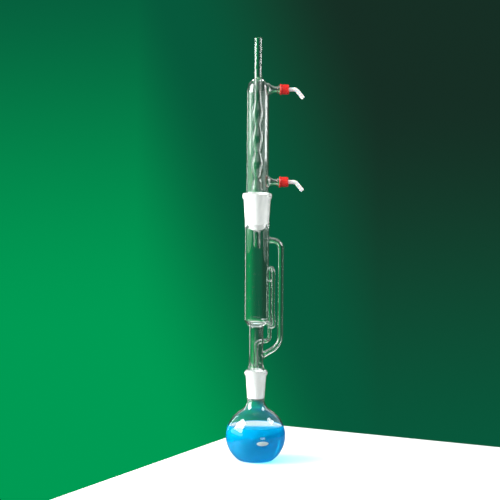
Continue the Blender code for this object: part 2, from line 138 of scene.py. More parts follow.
VENT = 6.75
VENT_BEND = JACKET_TOP - 6
FUNNEL_TOP = 421.0
TIP_BEVEL = math.radians(19)
TUBE_WALL = 1.2
WAIST = 6.0
DRIP_END = 6.4
BULBS_TOP = 634.3
BULB_PITCH = 44.9
BULB_COUNT = 4
PORT_NECK = 4.8
PORT_NECK_START = 33.0
PORT_FLARE = 10.8
FLARE_ROUNDING = 19.2
PORT_START = JACKET - 6
THREAD_PITCH = 2.5
THREAD_TURNS = 3
THREAD_ROOT = 6.1
THREAD_START = 39.6
THREAD_SIZE = 0.75
CAP_THREAD = 7.2
CAP_THREAD_SIZE = 0.55
CAP_BORE = 7.45
CAP_HOLE = 4.3
CAP_FACE = 2.0
RIBS = 24
RIB_HEIGHT = 0.38
SEAL = 5.8
SEAL_HOLE = 3.3
NOZZLE = 3.6
NOZZLE_BORE = 2.3
NOZZLE_BEND_START = 62.5
NOZZLE_ANGLE = math.radians(50)
NOZZLE_BEND = 8.0
NOZZLE_TAIL = 16.0
BARB_LENGTH = 4.0
BARB_COUNT = 3
FLANGE = 1.3

# enamel on the flask's front: places across and up from the bulb's centre
PATCH_AT = (12.3, -5.2)
PATCH_SIZE = (20.8, 8.0)
FIGURES_AT = (12.3, 2.2)
FIGURES_SIZE = 5.6


# ---------------------------------------------------------------- mesh helpers
def arc(centre, radius, start, end, steps):
    """Points round a circle between two angles in degrees."""
    points = []
    for i in range(steps + 1):
        angle = math.radians(start + (end - start) * i / steps)
        points.append((centre[0] + radius * math.cos(angle), centre[1] + radius * math.sin(angle)))
    return points


def eased(corners, steps=6):
    """A profile through (radius, height, rounding) corners."""
    points = []
    for i, (r, z, rounding) in enumerate(corners):
        here = Vector((r, z))
        if rounding == 0 or i in (0, len(corners) - 1):
            points.append((r, z))
            continue
        back = Vector(corners[i - 1][:2]) - here
        ahead = Vector(corners[i + 1][:2]) - here
        half = back.angle(ahead) / 2
        reach = min(rounding / math.tan(half), back.length * 0.49, ahead.length * 0.49)
        radius = reach * math.tan(half)
        centre = here + (back.normalized() + ahead.normalized()).normalized() * radius / math.sin(half)
        first = (here + back.normalized() * reach - centre).normalized()
        last = (here + ahead.normalized() * reach - centre).normalized()
        for k in range(steps + 1):
            spot = centre + first.slerp(last, k / steps) * radius
            points.append((spot.x, spot.y))
    return points


def finished(name, work, sharp=35):
    """The bmesh as a smooth-shaded object in the scene."""
    bmesh.ops.remove_doubles(work, verts=work.verts, dist=0.0000005)
    bmesh.ops.recalc_face_normals(work, faces=work.faces)
    mesh = bpy.data.meshes.new(name)
    work.to_mesh(mesh)
    work.free()
    mesh.shade_smooth()
    mesh.set_sharp_from_angle(angle=math.radians(sharp))
    obj = bpy.data.objects.new(name, mesh)
    bpy.context.scene.collection.objects.link(obj)
    return obj


def rings(work, loops, closed):
    """Skins a list of vertex rings; a ring of one vertex is a pole."""
    pairs = list(zip(loops, loops[1:]))
    if closed:
        pairs.append((loops[-1], loops[0]))
    for a, b in pairs:
        count = max(len(a), len(b))
        for k in range(count):
            quad = [a[k % len(a)], a[(k + 1) % len(a)], b[(k + 1) % len(b)], b[k % len(b)]]
            corners = list(dict.fromkeys(quad))
            if len(corners) > 2:
                work.faces.new(corners)


def lathe(name, profile, closed=False, sides=ROUND, bump=None):
    """Turns a (radius, height) profile about Z. bump(angle, radius, height) is added to a ring's radius."""
    work = bmesh.new()
    loops = []
    for r, z in profile:
        if r < 0.0001:
            loops.append([work.verts.new((0, 0, z * MM))])
            continue
        loop = []
        for k in range(sides):
            angle = 2 * math.pi * k / sides
            radius = r + (bump(angle, r, z) if bump else 0)
            spot = (radius * math.cos(angle) * MM, radius * math.sin(angle) * MM, z * MM)
            loop.append(work.verts.new(spot))
        loops.append(loop)
    rings(work, loops, closed)
    return finished(name, work)


def rounded_path(corners, steps=14):
    """A path through (corner, bend radius) pairs; the first and last have no bend."""
    points = [Vector(corners[0][0])]
    for before, (corner, radius), after in zip(corners, corners[1:], corners[2:]):
        corner = Vector(corner)
        back = (Vector(before[0]) - corner).normalized()
        ahead = (Vector(after[0]) - corner).normalized()
        half = back.angle(ahead) / 2
        centre = corner + (back + ahead).normalized() * radius / math.sin(half)
        first = (corner + back * radius / math.tan(half) - centre).normalized()
        last = (corner + ahead * radius / math.tan(half) - centre).normalized()
        points += [centre + first.slerp(last, i / steps) * radius for i in range(steps + 1)]
    points.append(Vector(corners[-1][0]))
    return [p for i, p in enumerate(points) if i == 0 or (p - points[i - 1]).length > 0.05]


def resampled(path, step):
    """The same path with a point about every step millimetres."""
    points = [path[0]]
    for a, b in zip(path, path[1:]):
        count = max(1, round((b - a).length / step))
        points += [a.lerp(b, i / count) for i in range(1, count + 1)]
    return points


def along(path):
    """Each point's distance from the path's start."""
    total = [0.0]
    for a, b in zip(path, path[1:]):
        total.append(total[-1] + (b - a).length)
    return total


def sweep(name, path, radius, sides=TUBE_SIDES):
    """A closed round solid along a path. radius is a number or a function of distance and total length."""
    lengths = along(path)
    work = bmesh.new()
    tangent = (path[1] - path[0]).normalized()
    side = tangent.orthogonal().normalized()
    loops = [[work.verts.new(path[0] * MM)]]
    for i, point in enumerate(path):
        nearby = path[max(i - 1, 0)], path[min(i + 1, len(path) - 1)]
        ahead = (nearby[1] - nearby[0]).normalized()
        side = (tangent.rotation_difference(ahead) @ side).normalized()
        tangent = ahead
        other = tangent.cross(side)
        size = radius(lengths[i], lengths[-1]) if callable(radius) else radius
        loop = []
        for k in range(sides):
            angle = 2 * math.pi * k / sides
            out = side * math.cos(angle) + other * math.sin(angle)
            loop.append(work.verts.new((point + out * size) * MM))
        loops.append(loop)
    loops.append([work.verts.new(path[-1] * MM)])
    rings(work, loops, False)
    return finished(name, work)


def apply_boolean(obj, other, operation):
    """Works the other object into this one and removes the other."""
    step = obj.modifiers.new("cut", "BOOLEAN")
    step.operation = operation
    step.object = other
    step.solver = "MANIFOLD"
    mesh = bpy.data.meshes.new_from_object(obj.evaluated_get(bpy.context.evaluated_depsgraph_get()))
    if len(mesh.polygons) == 0:
        raise ValueError(f"{operation} left nothing of {obj.name}")
    obj.modifiers.clear()
    obj.data = mesh
    mesh.name = obj.name
    bpy.data.objects.remove(other, do_unlink=True)


def join(obj, *others):
    for other in others:
        apply_boolean(obj, other, "UNION")
    return obj


def cut(obj, *others):
    for other in others:
        apply_boolean(obj, other, "DIFFERENCE")
    return obj


def shade(obj, sharp=35):
    obj.data.shade_smooth()
    obj.data.set_sharp_from_angle(angle=math.radians(sharp))
    return obj


def lay_along_x(obj, height):
    """Turns a piece made about Z so that it points along +X at a port's height."""
    for v in obj.data.vertices:
        x, y, z = v.co
        v.co = (z, y, -x + height * MM)
    obj.data.update()
    return obj


def ground_bore(rim, large_end, height):
    """A ground socket's bore radius at a height."""
    return large_end - TAPER * (rim - height)


# ---------------------------------------------------------------- materials
BLUE = (0.0, 0.38, 0.67)


def math_node(nodes, links, operation, first, second=None):
    made = nodes.new("ShaderNodeMath")
    made.operation = operation
    for socket, value in zip(made.inputs, (first, second)):
        if isinstance(value, (int, float)):
            socket.default_value = value
        elif value is not None:
            links.new(value, socket)
    return made.outputs["Value"]


def new_material(name):
    made = bpy.data.materials.new(name)
    made.use_nodes = True
    nodes = made.node_tree.nodes
    return made, nodes, made.node_tree.links, nodes["Principled BSDF"]


def add_bump(nodes, links, shader, height, strength, distance):
    bump = nodes.new("ShaderNodeBump")
    bump.inputs["Strength"].default_value = strength
    bump.inputs["Distance"].default_value = distance
    links.new(height, bump.inputs["Height"])
    links.new(bump.outputs["Normal"], shader.inputs["Normal"])


def noise(nodes, links, scale, detail=2.0, stretch=(1, 1, 1)):
    place = nodes.new("ShaderNodeTexCoord")
    shift = nodes.new("ShaderNodeMapping")
    shift.inputs["Scale"].default_value = stretch
    links.new(place.outputs["Object"], shift.inputs["Vector"])
    made = nodes.new("ShaderNodeTexNoise")
    made.inputs["Scale"].default_value = scale
    made.inputs["Detail"].default_value = detail
    links.new(shift.outputs["Vector"], made.inputs["Vector"])
    return made


def ramp(nodes, links, value, low, high, dark, light):
    made = nodes.new("ShaderNodeValToRGB")
    made.color_ramp.elements[0].position = low
    made.color_ramp.elements[1].position = high
    made.color_ramp.elements[0].color = (*dark, 1)
    made.color_ramp.elements[1].color = (*light, 1)
    links.new(value, made.inputs["Fac"])
    return made.outputs["Color"]


def ease(nodes, links, value, low, high):
    made = nodes.new("ShaderNodeMapRange")
    made.interpolation_type = "SMOOTHSTEP"
    made.inputs["From Min"].default_value = low
    made.inputs["From Max"].default_value = high
    links.new(value, made.inputs["Value"])
    return made.outputs["Result"]


def let_lamps_through(nodes, links, shader, colour=(0.93, 0.95, 0.94, 1)):
    """Clear pieces don't stop light on its way to what is behind them."""
    path = nodes.new("ShaderNodeLightPath")
    clear = nodes.new("ShaderNodeBsdfTransparent")
    clear.inputs["Color"].default_value = colour
    mix = nodes.new("ShaderNodeMixShader")
    links.new(path.outputs["Is Shadow Ray"], mix.inputs["Fac"])
    links.new(shader.outputs["BSDF"], mix.inputs[1])
    links.new(clear.outputs["BSDF"], mix.inputs[2])
    links.new(mix.outputs["Shader"], nodes["Material Output"].inputs["Surface"])


def glass_material():
    made, nodes, links, shader = new_material("borosilicate_glass")
    shader.inputs["Base Color"].default_value = (0.985, 0.997, 0.992, 1)
    shader.inputs["Roughness"].default_value = 0.0
    shader.inputs["IOR"].default_value = 1.474
    shader.inputs["Transmission Weight"].default_value = 1.0
    drawn = noise(nodes, links, 30.0, 1.0, (1, 1, 0.2))
    add_bump(nodes, links, shader, drawn.outputs["Fac"], 0.012, 0.0004)
    let_lamps_through(nodes, links, shader)
    return made


def frosted_material():
    made, nodes, links, shader = new_material("ground_glass")
    shader.inputs["Roughness"].default_value = 0.62
    shader.inputs["IOR"].default_value = 1.474
    shader.inputs["Transmission Weight"].default_value = 0.22
    cloud = noise(nodes, links, 140.0, 4.0, (1, 1, 0.35))
    links.new(ramp(nodes, links, cloud.outputs["Fac"], 0.3, 0.7, (0.74, 0.75, 0.75), (0.87, 0.87, 0.86)),
              shader.inputs["Base Color"])
    grain = noise(nodes, links, 2600.0, 2.0)
    add_bump(nodes, links, shader, grain.outputs["Fac"], 0.35, 0.0002)
    return made


def wetted_material():
    """The inside of the glass where liquid touches it, which neither shines nor bends light."""
    made = new_material("wetted_glass")[0]
    made.node_tree.nodes["Principled BSDF"].inputs["Alpha"].default_value = 0.0
    return made


def liquid_material(name, ior, transmission):
    made, nodes, links, shader = new_material(name)
    shader.inputs["Base Color"].default_value = (*BLUE, 1)
    shader.inputs["Roughness"].default_value = 0.0
    shader.inputs["IOR"].default_value = ior
    shader.inputs["Transmission Weight"].default_value = transmission
    let_lamps_through(nodes, links, shader, (0.25, 0.72, 0.85, 1))
    return made


def surface_material():
    """The liquid's upper face: blue from above, from within and in front, with a pale painted reflection
    mixed into its colour where it is seen at a glance towards its back edge.
    """
    made = liquid_material("liquid_surface", 1.40, 0.35)
    nodes, links = made.node_tree.nodes, made.node_tree.links
    weight = nodes.new("ShaderNodeLayerWeight")
    side = nodes.new("ShaderNodeNewGeometry")
    outside = math_node(nodes, links, "SUBTRACT", 1.0, side.outputs["Backfacing"])
    place = nodes.new("ShaderNodeTexCoord")
    split = nodes.new("ShaderNodeSeparateXYZ")
    links.new(place.outputs["Object"], split.inputs["Vector"])
    # painted reflection: the face's colour turns pale towards its back edge and where it is seen at a glance
    painted_sheen_rear = ease(nodes, links, split.outputs["Y"], -0.030, 0.012)
    glance = math_node(nodes, links, "MULTIPLY", weight.outputs["Facing"], outside)
    painted_sheen = math_node(nodes, links, "MULTIPLY", glance, painted_sheen_rear)
    # the pale end of this ramp is the painted reflection
    colour = ramp(nodes, links, painted_sheen, 0.25, 0.84, BLUE, (0.66, 0.70, 0.64))
    links.new(colour, nodes["Principled BSDF"].inputs["Base Color"])
    return made


def plastic_material(name, dark, light, roughness, grain):
    made, nodes, links, shader = new_material(name)
    shader.inputs["Roughness"].default_value = roughness
    cloud = noise(nodes, links, 220.0, 3.0)
    links.new(ramp(nodes, links, cloud.outputs["Fac"], 0.3, 0.7, dark, light), shader.inputs["Base Color"])
    fine = noise(nodes, links, 3200.0, 2.0)
    add_bump(nodes, links, shader, fine.outputs["Fac"], grain, 0.0001)
    return made


glass = glass_material()
frosted = frosted_material()
wetted = wetted_material()
liquid = liquid_material("blue_liquid", 1.0, 0.52)
surface = surface_material()
red = plastic_material("red_cap_plastic", (0.52, 0.010, 0.008), (0.68, 0.022, 0.014), 0.34, 0.15)
white = plastic_material("white_nozzle_plastic", (0.80, 0.79, 0.78), (0.90, 0.89, 0.88), 0.36, 0.15)
white.node_tree.nodes["Principled BSDF"].inputs["Subsurface Weight"].default_value = 0.25
white.node_tree.nodes["Principled BSDF"].inputs["Subsurface Scale"].default_value = 0.002
rubber = plastic_material("silicone_rubber", (0.62, 0.60, 0.56), (0.72, 0.70, 0.66), 0.55, 0.3)
enamel = plastic_material("white_enamel", (0.72, 0.93, 0.97), (0.78, 0.98, 1.0), 0.45, 0.3)


def set_materials(obj, *mats):
    obj.data.materials.clear()
    for mat in mats:
        obj.data.materials.append(mat)


def frost(obj, zones, spread=0.35):
    """Gives the faces on ground tapers the frosted material.

    A zone is (low, high, radius at low, radius at high), and spread is how far off that radius a face may be.
    """
    for face in obj.data.polygons:
        centre = face.center / MM
        radius = math.hypot(centre.x, centre.y)
        face.material_index = 0
        for low, high, r_low, r_high in zones:
            if low < centre.z < high:
                there = r_low + (r_high - r_low) * (centre.z - low) / (high - low)
                if abs(radius - there) < spread:
                    face.material_index = 1


# ---------------------------------------------------------------- flask
def flask_outline(inset):
    """The bulb's side from the neck down to the base, moved inwards by inset."""
    centre = (0.0, BULB_HEIGHT)
    blend_x = FLASK_NECK + NECK_BLEND
    blend_z = BULB_HEIGHT + math.sqrt((BULB_RADIUS + NECK_BLEND) ** 2 - blend_x ** 2)
    meet = math.degrees(math.atan2(blend_z - BULB_HEIGHT, blend_x))
    corner_x = math.sqrt((BULB_RADIUS - BASE_CORNER) ** 2 - (BULB_HEIGHT - BASE_CORNER) ** 2)
    low = math.degrees(math.atan2(BASE_CORNER - BULB_HEIGHT, corner_x))
    side = arc((blend_x, blend_z), NECK_BLEND + inset, 182, 180 + meet, 16)
    side += arc(centre, BULB_RADIUS - inset, meet, low, 44)[1:]
    side += arc((corner_x, BASE_CORNER), BASE_CORNER - inset, low, -90, 8)[1:]
    return side


def make_flask():
    top = ground_bore(FLASK_RIM, LOWER_GROUND, FLASK_RIM - MOUTH)
    end = ground_bore(FLASK_RIM, LOWER_GROUND, SOCKET_END)
    outer = [(top + 1.0, FLASK_RIM - 0.2, 0), (18.6, FLASK_RIM, 0.8), (FLASK_BEAD, FLASK_RIM - 1.6, 1.6)]
    outer += [(FLASK_BEAD, FLASK_RIM - 6.4, 1.6), (17.9, FLASK_RIM - 8.8, 1.5), (17.85, FLASK_RIM - 11, 0)]
    outer += [(FLASK_NECK + 0.5, NECK_TOP + 3.5, 4)]
    outline = flask_outline(0.0)
    side = eased(outer + [(outline[0][0], outline[0][1] - 2, 0)])[:-1]
    side += [p for p in outline if p[1] < NECK_TOP + 1] + [(0.0, 0.0)]
    inside = BULB_RADIUS - FLASK_WALL
    brim = (math.sqrt(inside ** 2 - (BRIM - BULB_HEIGHT) ** 2), BRIM)
    inner = sorted([p for p in flask_outline(FLASK_WALL) if p[1] < NECK_TOP] + [brim], key=lambda p: -p[1])
    bore = [(end, SOCKET_END), (top, FLASK_RIM - MOUTH)]
    profile = [(0.0, FLASK_WALL)] + inner[::-1] + bore + side
    body = lathe("flask_glass", profile)
    set_materials(body, glass, frosted, wetted)
    frost(body, [(SOCKET_END, FLASK_RIM - 1.2, end, top)])
    middle = Vector((0, 0, BULB_HEIGHT * MM))
    for face in body.data.polygons:
        if face.center.z < BRIM * MM and face.normal.dot(face.center - middle) < 0:
            face.material_index = 2
    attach(body, "flask")
    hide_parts("flask_bulb", "flask_socket")


def make_liquid():
    """The liquid, whose sides reach a little way into the glass and whose edge creeps up it."""
    wet = FLASK_WALL - WETTED
    level = math.sqrt((BULB_RADIUS - wet) ** 2 - (LIQUID_LEVEL - BULB_HEIGHT) ** 2)
    top = [(0.0, LIQUID_LEVEL), (level - 6, LIQUID_LEVEL), (level - 2.5, LIQUID_LEVEL + 0.15)]
    top += [(level - 1.0, LIQUID_LEVEL + 0.6), (level - 0.7, LIQUID_LEVEL + 1.2)]
    under = [p for p in flask_outline(wet) if p[1] < LIQUID_LEVEL + 1.0]
    fill = lathe("flask_blue_liquid", top + under + [(0.0, wet)])
    set_materials(fill, liquid, surface)
    for face in fill.data.polygons:
        face.material_index = 1 if face.normal.z > 0.5 else 0
    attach(fill, "flask")
    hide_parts("flask_liquid")


def make_label():
    """A fired white enamel patch for writing on, and the flask's volume in millilitres above it."""
    def on_bulb(u, v, lift):
        out = Vector((u, -math.sqrt(BULB_RADIUS ** 2 - u * u - v * v), v))
        return (out * (1 + lift / BULB_RADIUS) + Vector((0, 0, BULB_HEIGHT))) * MM

    across, down = PATCH_SIZE[0] / 2, PATCH_SIZE[1] / 2
    work = bmesh.new()
    loops = []
    front = [(0, 0.1), (0.35, 0.1), (0.7, 0.1), (0.95, 0.1), (1, 0.05)]
    for part, lift in front + [(1, -0.05), (0.6, -0.05), (0, -0.05)]:
        turns = [2 * math.pi * k / 48 for k in range(48)] if part else [0]
        oval = [(part * across * math.cos(a), part * down * math.sin(a)) for a in turns]
        loops.append([work.verts.new(on_bulb(PATCH_AT[0] + u, PATCH_AT[1] + v, lift)) for u, v in oval])
    rings(work, loops, False)

    figures = bpy.data.curves.new("figures", "FONT")
    figures.body = "500"
    figures.size = FIGURES_SIZE
    figures.extrude = 0.08
    figures.align_x = "CENTER"
    holder = bpy.data.objects.new("figures", figures)
    bpy.context.scene.collection.objects.link(holder)
    mesh = bpy.data.meshes.new_from_object(holder.evaluated_get(bpy.context.evaluated_depsgraph_get()))
    bpy.data.objects.remove(holder, do_unlink=True)
    for v in mesh.vertices:
        v.co = on_bulb(FIGURES_AT[0] + v.co.x, FIGURES_AT[1] + v.co.y, v.co.z)
    work.from_mesh(mesh)
    label = finished("flask_label", work)
    set_materials(label, enamel)
    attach(label, "flask")


# ---------------------------------------------------------------- extractor
def flared(radius, at_start, at_end, reach=7.0):
    """Radius along a tube that widens where it is fused on."""
    def size(distance, total):
        extra = 0.0
        for room, gap in ((distance, at_start), (total - distance, at_end)):
            if gap and room < reach:
                extra = max(extra, gap * (1 - room / reach) ** 2)
        return radius + extra
    return size


def arm_route():
    """The vapour arm's middle line, from inside the chamber's wall to inside the stem's."""
    slope = math.tan(ARM_SLOPE)
    knee = Vector((ARM_OFFSET, 0, ARM_FOOT - ARM_SWEEP * slope))
    start = Vector((CHAMBER - 1.2, 0, ARM_TOP))
    foot = Vector((STEM - 1.5, 0, knee.z - (ARM_OFFSET - STEM + 1.5) * slope))
    shoulder = (ARM_OFFSET, 0, ARM_TOP)
    return resampled(rounded_path([(start, 0), (shoulder, ARM_BEND), (knee, ARM_SWEEP), (foot, 0)]), 2.0)


def siphon_route():
    """From the chamber's bottom through the U, up the riser, over the crest and down inside the stem."""
    turn = (RISER - DOWN_LEG).length / 2
    up = Vector((0, 0, 1))
    corners = [(SIPHON_OUTLET, 0), ((DIP_START, 0, SIPHON_DIP), 4.8), ((DIP_END, 0, SIPHON_DIP), 4.6)]
    corners += [(RISER + up * 260, 30)]
    corners += [(RISER + up * SIPHON_TOP, turn), (DOWN_LEG + up * SIPHON_TOP, turn)]
    corners += [(DOWN_LEG + up * RETURN_HEIGHT, 8), (up * RETURN_HEIGHT, 8), (up * (CONE_END + 1), 0)]
    return resampled(rounded_path(corners), 2.0)


def extractor_outside(cone_top, cone_end, bore_top):
    """The outer profile: rim bead, socket, chamber, rounded bottom, stem and ground cone."""
    outer = [(0, SOCKET_RIM - 0.2, 0), (bore_top + 1, SOCKET_RIM - 0.2, 0), (24.4, SOCKET_RIM, 0.9)]
    outer += [(SOCKET_BEAD, SOCKET_RIM - 1.8, 1.8), (SOCKET_BEAD, SOCKET_RIM - 7.6, 1.8)]
    outer += [(23.5, SOCKET_RIM - 10, 1.6), (SOCKET_SIDE, SOCKET_RIM - 13, 0)]
    outer += [(20.9, SOCKET_BASE + 3, 3), (CHAMBER, SOCKET_BASE - 3, 4)]
    solid = eased(outer + [(CHAMBER, CHAMBER_CORNER, 0)])
    solid += arc((CHAMBER - CHAMBER_ROUNDING, CHAMBER_CORNER), CHAMBER_ROUNDING, 0, -52, 12)[1:]
    below = [(*solid[-1], 0), (STEM + 0.4, CHAMBER_SKIRT + 0.5, 3.0), (STEM, CHAMBER_SKIRT - 5, 0)]
    below += [(STEM, STEM_LOW + 3, 2), (STEM + 0.5, STEM_LOW, 1.0), (STEM + 0.3, STEM_LOW - 3, 1.5)]
    below += [(cone_top, FLASK_RIM + 4, 2), (cone_top, FLASK_RIM, 0), (cone_end, CONE_END + 0.8, 0.5)]
    return solid + eased(below + [(cone_end - 0.8, CONE_END, 0.4), (0, CONE_END, 0)])[1:]


def chamber_inside(bore_top, bore_end):
    inner = CHAMBER - GLASS_WALL
    rounding = CHAMBER_ROUNDING - 2
    floor = [(0.0, CHAMBER_FLOOR), (9.0, CHAMBER_FLOOR + 0.1), (13.0, CHAMBER_FLOOR + 0.7)]
    floor += arc((inner - rounding, CHAMBER_CORNER), rounding, -55, 0, 10)
    upper = [(inner, CHAMBER_CORNER + 1, 0), (inner, SOCKET_BASE - 2, 5), (bore_end, SOCKET_BASE + 7, 4)]
    upper += [(bore_top, SOCKET_RIM - MOUTH, 0), (bore_top + 1.2, SOCKET_RIM + 0.5, 0)]
    return lathe("chamber_inside", floor + eased(upper) + [(0.0, SOCKET_RIM + 0.5)])


def stem_inside(cone_top, cone_end):
    wide, narrow = cone_top - STEM_FOOT_WALL, cone_end - CONE_WALL
    under = [(0, CHAMBER_FLOOR - 1.7, 0), (9.5, CHAMBER_FLOOR - 2.2, 2), (STEM_BORE, CHAMBER_SKIRT + 1, 3)]
    under += [(STEM_BORE, STEM_LOW, 4), (wide, FLASK_RIM + 3, 4), (wide, FLASK_RIM - 3, 3)]
    under += [(narrow, CONE_END, 0), (narrow, CONE_END - 2, 0), (0, CONE_END - 2, 0)]
    return lathe("stem_inside", eased(under))


def make_extractor():
    cone_top = ground_bore(FLASK_RIM, LOWER_GROUND, FLASK_RIM - MOUTH) - CLEAR
    cone_end = ground_bore(FLASK_RIM, LOWER_GROUND, CONE_END) - CLEAR
    bore_top = ground_bore(SOCKET_RIM, UPPER_GROUND, SOCKET_RIM - MOUTH)
    bore_end = ground_bore(SOCKET_RIM, UPPER_GROUND, SOCKET_BASE + 6)
    body = lathe("extractor_glass", extractor_outside(cone_top, cone_end, bore_top))

    arm = arm_route()
    siphon = siphon_route()
    level = RETURN_HEIGHT + 1
    entry = next(i for i, p in enumerate(siphon) if p.z < level and math.hypot(p.x, p.y) < STEM - 0.6)
    brace = [Vector((x, 0, BRACE_HEIGHT)) for x in (CHAMBER - INTO_WALL, RISER.x - SIPHON_RADIUS + INTO_WALL)]
    join(body, sweep("arm_outside", arm, flared(ARM_RADIUS, 2.6, 2.6)))
    join(body, sweep("siphon_outside", siphon[:entry], flared(SIPHON_RADIUS, 2.0, 1.6, 5.0)))
    join(body, sweep("brace", resampled(brace, 0.5), flared(BRACE, 0.9, 0.9, 2.2)))
    cut(body, chamber_inside(bore_top, bore_end), stem_inside(cone_top, cone_end))
    cut(body, sweep("arm_bore", resampled(arm, 2.0), flared(ARM_RADIUS - ARM_WALL, 2.4, 2.4, 6.0)))

    def drip_size(distance, total):
        part = min(distance / NARROWING, 1)
        return SIPHON_RADIUS + (DRIP_RADIUS - SIPHON_RADIUS) * part

    def bore_size(distance, total):
        outside = SIPHON_RADIUS if total - distance > 120 else DRIP_RADIUS
        return outside - SIPHON_WALL

    join(body, sweep("drip_outside", siphon[entry - 1:], drip_size))
    cut(body, sweep("siphon_bore", siphon + [Vector((0, 0, CONE_END - 1))], bore_size))
    shade(body)
    set_materials(body, glass, frosted)
    socket = (SOCKET_BASE + 3, SOCKET_RIM - 1, bore_end - 0.15, bore_top)
    frost(body, [socket, (CONE_END + 1, FLASK_RIM + 1, cone_end, cone_top)])
    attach(body, "extractor")
    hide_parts("extractor_socket", "extractor_chamber", "extractor_stem", "extractor_cone",
                "vapour_arm", "siphon_riser", "siphon_down_leg", "siphon_drip_tube", "siphon_brace")


# ---------------------------------------------------------------- condenser
def bulb_side(inset, top, bottom):
    """The inner tube's side between two heights, moved inwards by inset."""
    side = [(VENT - inset, top), (VENT - inset, BULBS_TOP + 5)]
    steps = 22
    for bulb in range(BULB_COUNT):
        start = BULBS_TOP - bulb * BULB_PITCH
        for i in range(steps):
            part = i / steps
            swell = math.sin(math.pi * part) ** 1.15
            waist = WAIST if bulb or part > 0.2 else VENT - (VENT - WAIST) * part / 0.2
            side.append((waist + (BULB_SWELL - waist) * swell - inset, start - part * BULB_PITCH))
    end = BULBS_TOP - BULB_COUNT * BULB_PITCH
    side += [(WAIST - inset, end), (DRIP_END - inset, end - 5), (DRIP_END - inset, bottom)]
    return side


def helix(radius, start, phase):
    """The middle line of a right-handed thread about +X."""
    per_turn = 36
    points = []
    for i in range(THREAD_TURNS * per_turn + 1):
        angle = 2 * math.pi * (i / per_turn + phase)
        along_x = start + THREAD_PITCH * i / per_turn
        points.append(Vector((along_x, radius * math.cos(angle), radius * math.sin(angle))))
    return points


def thread_size(crest):
    """A ridge that runs out to nothing at both ends."""
    def size(distance, total):
        room = min(distance, total - distance)
        return crest * min(1.0, 0.25 + room / 10)
    return size


def raised(path, height):
    return [p + Vector((0, 0, height)) for p in path]


def port_flare(inset):
    """The port's side from the jacket to its neck, moved inwards by inset."""
    turn = math.degrees(math.acos((FLARE_ROUNDING + PORT_NECK - PORT_FLARE) / FLARE_ROUNDING))
    curve = arc((PORT_NECK + FLARE_ROUNDING, PORT_NECK_START), FLARE_ROUNDING, 180 + turn, 180, 18)
    return [(PORT_FLARE - inset, PORT_START)] + [(r - inset, x) for r, x in curve]


def port_outside(height):
    collar = [(PORT_NECK, PORT_NECK_START, 0), (PORT_NECK + 0.1, 33.6, 1), (THREAD_ROOT, 36, 1)]
    collar += [(THREAD_ROOT, PORT_END, 0.5), (0, PORT_END, 0)]
    profile = [(0, PORT_START)] + port_flare(0.0) + eased(collar)
    return lay_along_x(lathe("port_outside", profile, sides=PORT_SIDES), height)


def port_inside(height):
    bore = PORT_NECK - GLASS_WALL
    mouth = bore + 0.9
    profile = [(0, PORT_START)] + [(max(r, bore), x) for r, x in port_flare(GLASS_WALL)]
    profile += [(bore, 34), (mouth, 37), (mouth, PORT_END + 1), (0, PORT_END + 1)]
    return lay_along_x(lathe("port_inside", profile, sides=PORT_SIDES), height)


def condenser_outside(cone_top, cone_end):
    """The outer profile: vent, domed shoulder, jacket, ground cone, rounded bottom and drip tip."""
    side = [(0, VENT_TOP, 0), (VENT, VENT_TOP, 0.5), (VENT, JACKET_TOP - 1.5, 3)]
    side += [(VENT + 3.2, SHOULDER + 9.6, 6), (JACKET - 3.2, SHOULDER + 4.2, 10), (JACKET, SHOULDER - 9, 14)]
    side += [(JACKET, JACKET_BASE, 1), (cone_top, SOCKET_RIM + 0.5, 1), (cone_top, SOCKET_RIM - MOUTH, 0)]
    side += [(cone_end, FUNNEL_TOP, 2), (cone_end - 1.7, FUNNEL_LOW + 11, 5)]
    side += [(cone_end - 6.3, FUNNEL_LOW + 2, 4)]
    side += [(DRIP_END + 0.2, FUNNEL_LOW - 1, 2), (DRIP_END, FUNNEL_LOW - 5, 0)]
    side += [(DRIP_END, DRIP_TIP, 0.4), (0, DRIP_TIP, 0)]
    return eased(side, 8)


def water_space(cone_top, cone_end):
    """The room between jacket and inner tube, down to the cone's rounded bottom."""
    inner = JACKET - GLASS_WALL
    floor = FUNNEL_LOW + 1.8
    side = [(VENT + 0.1, VENT_BEND, 0), (VENT + 3.4, SHOULDER + 7.8, 4), (inner - 3.0, SHOULDER + 2.8, 9)]
    side += [(inner, SHOULDER - 10, 13), (inner, JACKET_BASE - 2, 4), (cone_top - 2.0, SOCKET_RIM - 6, 3)]
    side += [(cone_end - 2.0, FUNNEL_TOP, 2), (cone_end - 3.5, FUNNEL_LOW + 11, 5)]
    side += [(cone_end - 7.2, FUNNEL_LOW + 3.8, 4), (DRIP_END + 0.1, floor, 0)]
    tube = bulb_side(0.0, VENT_BEND, floor)[::-1]
    return lathe("water_space", eased(side, 6) + tube[1:-1], closed=True)


def tip_wedge():
    """What is cut away to leave the drip tip slanted."""
    wedge = lathe("tip_wedge", [(0, 0), (30, 0), (30, -30), (0, -30)], sides=32)
    lift = (DRIP_TIP + DRIP_END * math.tan(TIP_BEVEL)) * MM
    across, down = math.cos(TIP_BEVEL), math.sin(TIP_BEVEL)
    for v in wedge.data.vertices:
        x, y, z = v.co
        v.co = (x * across + z * down, y, -x * down + z * across + lift)
    return wedge


